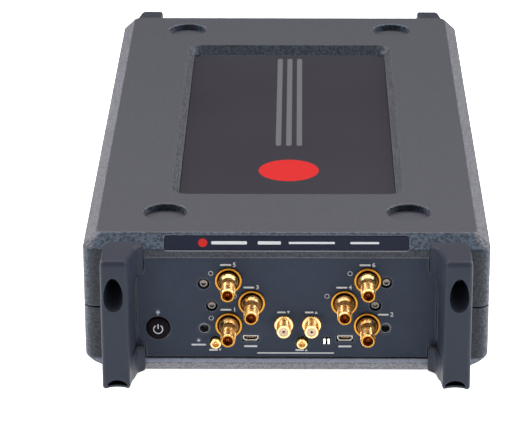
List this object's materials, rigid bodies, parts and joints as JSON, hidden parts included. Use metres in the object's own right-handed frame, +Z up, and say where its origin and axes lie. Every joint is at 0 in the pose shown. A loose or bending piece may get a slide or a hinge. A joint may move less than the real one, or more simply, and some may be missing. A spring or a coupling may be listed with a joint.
{
  "type": "vector network analyzer",
  "caption": "Flat portable vector network analyzer with corner bumpers, coaxial test ports and a power button on the front panel.",
  "frame": {"origin": "middle of the footprint, on the surface that the feet stand on", "axes": "+X to the right as seen from the front, +Y from the front panel to the back, +Z up"},
  "size_m": [0.178, 0.355, 0.0705],
  "materials": {
    "shell_plastic": "fine moulded texture, charcoal grey",
    "bumper_plastic": "smooth satin, dark blue-grey",
    "inlay_plate": "satin dark film with a plain printed disc and bar",
    "label_film": "satin navy film with plain printed bars",
    "panel_paint": "satin blue-grey paint with plain printed marks",
    "gold_plate": "gold plated, polished turned metal",
    "contact_gold": "gold plated, darker inside the bore",
    "dielectric": "off-white insulator",
    "fastener_steel": "bright zinc, slightly worn",
    "tin_plate": "bright tin plate",
    "black_plastic": "satin black",
    "rubber": "matt black",
    "light_pipe": "clear, slightly milky",
    "circuit_board": "green solder mask",
    "milled_aluminium": "milled, satin",
    "sheet_steel": "zinc-plated sheet"
  },
  "bodies": {
    "case": {"top_shell": "shell_plastic", "bottom_shell": "shell_plastic", "top_plate": "inlay_plate", "label_strip": "label_film", "foot_front_left": "rubber", "foot_front_right": "rubber", "foot_rear_left": "rubber", "foot_rear_right": "rubber", "front_bumper_left": "bumper_plastic", "front_bumper_right": "bumper_plastic", "rear_bumper_left": "bumper_plastic", "rear_bumper_right": "bumper_plastic", "front_panel": "panel_paint", "rear_panel": "panel_paint", "port_1_connector": "gold_plate", "port_2_connector": "gold_plate", "port_3_connector": "gold_plate", "port_4_connector": "gold_plate", "port_5_connector": "gold_plate", "port_6_connector": "gold_plate", "lo_in_connector": "gold_plate", "lo_out_connector": "gold_plate", "ref_in_connector": "gold_plate", "ref_out_connector": "gold_plate", "port_1_contact": "contact_gold", "port_2_contact": "contact_gold", "port_3_contact": "contact_gold", "port_4_contact": "contact_gold", "port_5_contact": "contact_gold", "port_6_contact": "contact_gold", "lo_in_insulator": "dielectric", "lo_out_insulator": "dielectric", "ctrl_s_receptacle": "tin_plate", "ctrl_m_receptacle": "tin_plate", "sync_pin_left": "tin_plate", "sync_pin_right": "tin_plate", "usb_receptacle": "tin_plate", "ground_stud": "tin_plate", "board_shield": "tin_plate", "power_light_pipe": "light_pipe", "status_light_pipe": "light_pipe", "jack_post_left": "fastener_steel", "jack_post_right": "fastener_steel", "panel_screw_1": "fastener_steel", "panel_screw_2": "fastener_steel", "panel_screw_3": "fastener_steel", "panel_screw_4": "fastener_steel", "power_inlet": "black_plastic", "power_switch": "black_plastic", "fan_frame": "black_plastic", "chassis_tray": "sheet_steel", "main_board": "circuit_board", "front_board": "circuit_board", "power_board": "circuit_board", "rf_housing": "milled_aluminium", "rf_cover": "milled_aluminium", "heat_sink": "milled_aluminium"},
    "power_button": {"power_button": "black_plastic"},
    "fan_rotor": {"fan_rotor": "black_plastic"}
  },
  "joints": [
    {"name": "power_button_press", "type": "slide", "parent": "case", "child": "power_button", "axis": [0, 1, 0], "range_m": [0, 0.0008], "stiffness_N_per_m": 600},
    {"name": "fan_spin", "type": "hinge", "parent": "case", "child": "fan_rotor", "pos_m": [0.038, 0.151, 0.0355], "axis": [0, 1, 0], "continuous": true}
  ]
}
